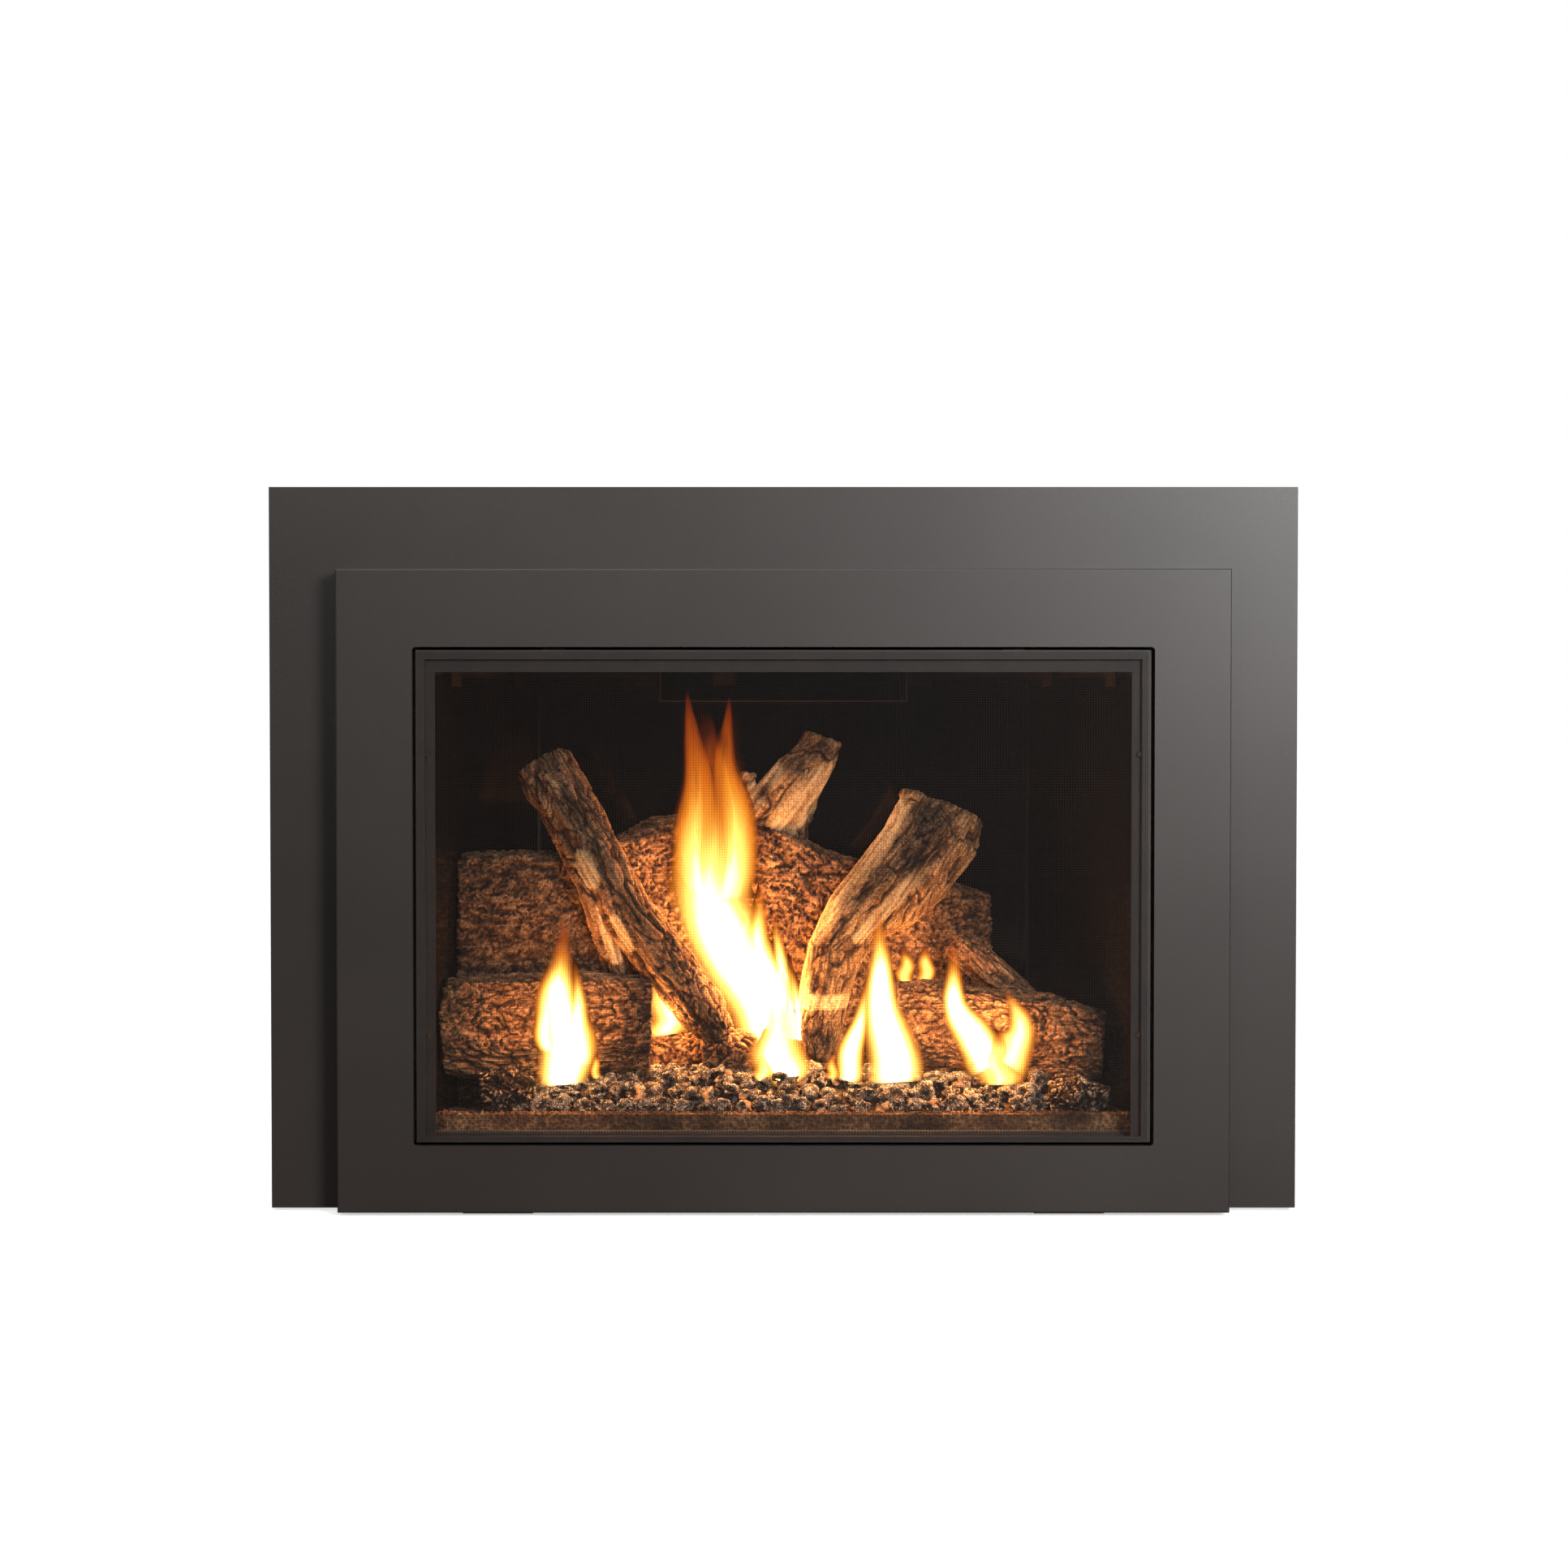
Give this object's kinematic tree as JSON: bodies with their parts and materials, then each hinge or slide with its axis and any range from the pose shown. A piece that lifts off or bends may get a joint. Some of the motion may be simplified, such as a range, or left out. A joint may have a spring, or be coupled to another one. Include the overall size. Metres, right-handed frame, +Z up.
{
  "type": "gas fireplace insert",
  "caption": "Direct vent gas fireplace insert with a folded steel overlay, flat backer frame, mesh screen, glass door, log set and burner.",
  "frame": {"origin": "on the hearth under the casing's base pan, midway across the insert, in the plane of the fireplace's face that the backer's returned edges rest on", "axes": "+X to the right as seen from the room, +Y into the fireplace, +Z up"},
  "size_m": [1.03, 0.451, 0.727],
  "materials": {
    "matte_black_steel": "matte powder coat",
    "screen_wire": "matte black woven wire",
    "ceramic_glass": "clear ceramic glass",
    "black_reflective_glass": "polished black ceramic glass",
    "gasket_rope": "woven glass fibre tape",
    "galvanised_steel": "galvanised sheet",
    "aluminised_steel": "aluminised sheet",
    "heat_black_steel": "high temperature flat black",
    "spring_steel": "bright spring steel",
    "magnet": "nickel plated",
    "bark_log": "moulded and painted fibre, bark",
    "driftwood_log": "moulded and painted fibre, bare wood",
    "charcoal": "moulded fibre, charcoal",
    "ember_wool": "rock wool embers",
    "fibre_board": "granular brown fibre board",
    "stainless_steel": "stainless, brushed",
    "cast_aluminium": "die cast",
    "brass": "machined brass",
    "black_plastic": "fine texture",
    "zinc_screw": "zinc plated",
    "copper_tube": "bright tube",
    "porcelain": "white insulator"
  },
  "bodies": {
    "insert": {"backer_frame": "matte_black_steel", "backer_strips": "galvanised_steel", "blower_housing": "galvanised_steel", "blower_motor": "galvanised_steel", "burner_feed_tube": "copper_tube", "burner_pan": "stainless_steel", "casing_top": "galvanised_steel", "ceiling_baffle": "heat_black_steel", "charcoal_pieces": "charcoal", "control_module": "black_plastic", "door_clips": "spring_steel", "ember_bank": "fibre_board", "ember_lumps": "ember_wool", "exhaust_collar": "aluminised_steel", "firebox_face": "heat_black_steel", "firebox_shell": "heat_black_steel", "floor_board": "fibre_board", "gas_supply_tube": "copper_tube", "gas_valve": "cast_aluminium", "intake_collar": "aluminised_steel", "intake_duct": "aluminised_steel", "liner_clips": "heat_black_steel", "liner_panel_back": "black_reflective_glass", "liner_panel_left": "black_reflective_glass", "liner_panel_right": "black_reflective_glass", "log_branch_left": "bark_log", "log_cross_left": "bark_log", "log_cross_right": "driftwood_log", "log_front_left": "bark_log", "log_front_right": "bark_log", "log_rear": "bark_log", "log_top_chunk": "driftwood_log", "log_twig_right": "bark_log", "orifice_fitting": "brass", "outer_casing": "galvanised_steel", "pilot_electrodes": "porcelain", "pilot_hood": "stainless_steel", "power_inlet": "black_plastic", "restrictor_guides": "heat_black_steel", "rocker_bezel": "black_plastic", "shutoff_cock": "brass", "strip_screws": "zinc_screw", "switch_box": "galvanised_steel", "wood_chunks": "bark_log"},
    "overlay": {"overlay_front": "matte_black_steel", "overlay_magnets": "magnet"},
    "door": {"door_frame": "heat_black_steel", "door_glass": "ceramic_glass", "door_gasket": "gasket_rope"},
    "screen": {"screen_rim": "screen_wire", "screen_mesh": "screen_wire"},
    "flame_knob": {"flame_height_knob": "black_plastic"},
    "shutoff_lever": {"shutoff_lever": "black_plastic"},
    "fan_knob": {"fan_speed_knob": "black_plastic"},
    "rocker": {"rocker_switch": "black_plastic"},
    "air_shutter": {"air_shutter": "stainless_steel"},
    "restrictor": {"flue_restrictor": "stainless_steel"},
    "rotor": {"blower_rotor": "galvanised_steel"}
  },
  "joints": [
    {"name": "overlay_pull", "type": "slide", "parent": "insert", "child": "overlay", "axis": [0, -1, 0], "range_m": [0, 0.3]},
    {"name": "door_pull", "type": "slide", "parent": "insert", "child": "door", "axis": [0, -1, 0], "range_m": [0, 0.15]},
    {"name": "screen_pull", "type": "slide", "parent": "door", "child": "screen", "axis": [0, -1, 0], "range_m": [0, 0.06]},
    {"name": "flame_height_turn", "type": "hinge", "parent": "insert", "child": "flame_knob", "pos_m": [0.024, 0.024, 0.027], "axis": [0, -1, 0], "range_deg": [0, 90]},
    {"name": "shutoff_turn", "type": "hinge", "parent": "insert", "child": "shutoff_lever", "pos_m": [0.3, 0.04, 0.034], "axis": [0, 1, 0], "range_deg": [0, 90]},
    {"name": "fan_speed_turn", "type": "hinge", "parent": "insert", "child": "fan_knob", "pos_m": [0.14, -0.006, 0.03], "axis": [0, -1, 0], "range_deg": [0, 270]},
    {"name": "rocker_tilt", "type": "hinge", "parent": "insert", "child": "rocker", "pos_m": [0.182, 0.005, 0.03], "axis": [-1, 0, 0], "range_deg": [0, 16]},
    {"name": "air_shutter_turn", "type": "hinge", "parent": "insert", "child": "air_shutter", "pos_m": [0.15, 0.224, 0.081], "axis": [0, 1, 0], "range_deg": [-30, 30]},
    {"name": "restrictor_slide", "type": "slide", "parent": "insert", "child": "restrictor", "axis": [0, 1, 0], "range_m": [0, 0.06]},
    {"name": "blower_spin", "type": "hinge", "parent": "insert", "child": "rotor", "pos_m": [0, 0.348, 0.046], "axis": [1, 0, 0], "continuous": true}
  ]
}
